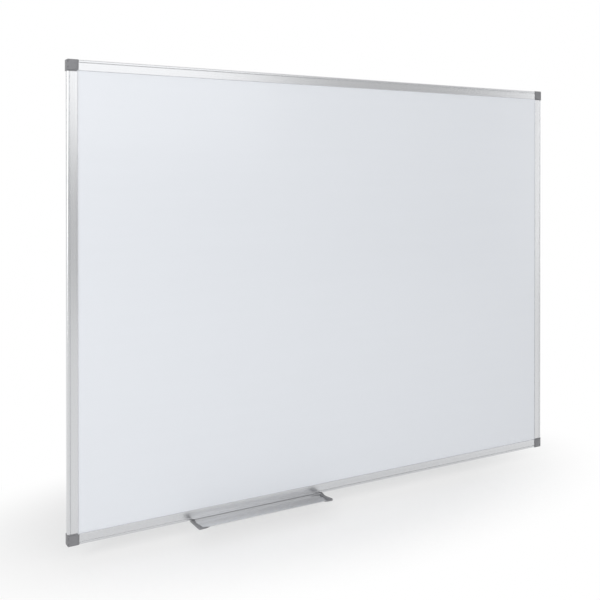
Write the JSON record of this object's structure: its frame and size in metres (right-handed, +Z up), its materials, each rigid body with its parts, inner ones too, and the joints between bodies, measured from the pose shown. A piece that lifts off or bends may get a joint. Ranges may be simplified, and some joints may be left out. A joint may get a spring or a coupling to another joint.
{
  "type": "magnetic whiteboard",
  "caption": "Wall-mounted magnetic whiteboard with an aluminium frame, grey corner pieces with hinged covers over the wall screws, and a pen tray that slides along the bottom rail.",
  "frame": {"origin": "middle of the board on the wall plane, which the backs of the rails and of the corner pieces touch", "axes": "+X to the right of someone who faces the board, +Y into the wall, +Z up; the writing side looks towards -Y"},
  "size_m": [1.2004, 0.0541, 0.9061],
  "materials": {
    "lacquered_steel": "glossy white lacquer on steel sheet",
    "aluminium": "satin natural anodised, fine lines along the extrusion",
    "grey_plastic": "moulded grey plastic, fine satin grain",
    "card_core": "raw card, matt",
    "galvanised_steel": "galvanised, dull with a faint spangle",
    "screw_steel": "zinc plated"
  },
  "bodies": {
    "board": {"writing_sheet": "lacquered_steel", "core_board": "card_core", "back_sheet": "galvanised_steel", "bottom_rail": "aluminium", "bottom_rail_screw_a": "screw_steel", "bottom_rail_screw_b": "screw_steel", "left_stile": "aluminium", "left_stile_screw_a": "screw_steel", "left_stile_screw_b": "screw_steel", "top_rail": "aluminium", "top_rail_screw_a": "screw_steel", "top_rail_screw_b": "screw_steel", "right_stile": "aluminium", "right_stile_screw_a": "screw_steel", "right_stile_screw_b": "screw_steel", "bottom_left_corner": "grey_plastic", "bottom_right_corner": "grey_plastic", "top_left_corner": "grey_plastic", "top_right_corner": "grey_plastic"},
    "tray": {"pen_tray": "aluminium", "tray_cap_left": "grey_plastic", "tray_cap_right": "grey_plastic"},
    "bottom_left_cover": {"bottom_left_cover": "grey_plastic"},
    "bottom_right_cover": {"bottom_right_cover": "grey_plastic"},
    "top_left_cover": {"top_left_cover": "grey_plastic"},
    "top_right_cover": {"top_right_cover": "grey_plastic"}
  },
  "joints": [
    {"name": "tray_slide", "type": "slide", "parent": "board", "child": "tray", "axis": [1, 0, 0], "range_m": [-0.2249, 0.6269]},
    {"name": "bottom_left_cover_hinge", "type": "hinge", "parent": "board", "child": "bottom_left_cover", "pos_m": [-0.5988, -0.0118, -0.44], "axis": [0, 0, -1], "range_deg": [0, 110]},
    {"name": "bottom_right_cover_hinge", "type": "hinge", "parent": "board", "child": "bottom_right_cover", "pos_m": [0.5988, -0.0118, -0.44], "axis": [0, 0, 1], "range_deg": [0, 110]},
    {"name": "top_left_cover_hinge", "type": "hinge", "parent": "board", "child": "top_left_cover", "pos_m": [-0.5988, -0.0118, 0.44], "axis": [0, 0, -1], "range_deg": [0, 110]},
    {"name": "top_right_cover_hinge", "type": "hinge", "parent": "board", "child": "top_right_cover", "pos_m": [0.5988, -0.0118, 0.44], "axis": [0, 0, 1], "range_deg": [0, 110]}
  ]
}
